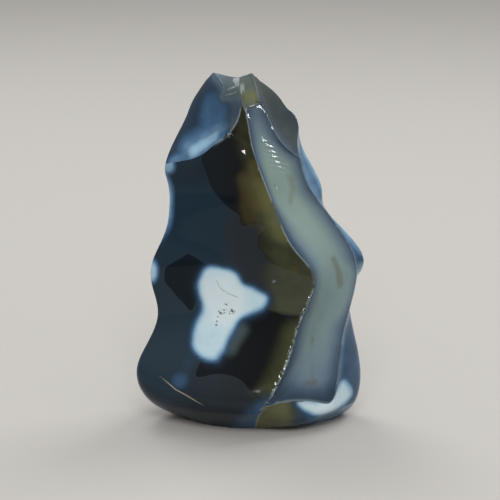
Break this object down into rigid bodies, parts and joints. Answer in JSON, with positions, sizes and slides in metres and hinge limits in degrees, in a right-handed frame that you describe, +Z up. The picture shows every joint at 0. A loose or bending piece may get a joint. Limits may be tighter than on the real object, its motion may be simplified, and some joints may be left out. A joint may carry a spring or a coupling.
{
  "type": "polished agate flame",
  "caption": "Free-form polished banded stone with sharp flowing ridges and hollow faces, tapering to a tip and standing on a small ground flat.",
  "frame": {"origin": "under the middle of the stone, on the plane of the ground flat it stands on", "axes": "+Z up to the tip, -Y out of the large dark front face, +X to the right as the front is seen"},
  "size_m": [0.0641, 0.0361, 0.1],
  "materials": {
    "agate": "polished"
  },
  "bodies": {
    "root": {"flame_agate": "agate"}
  },
  "joints": []
}
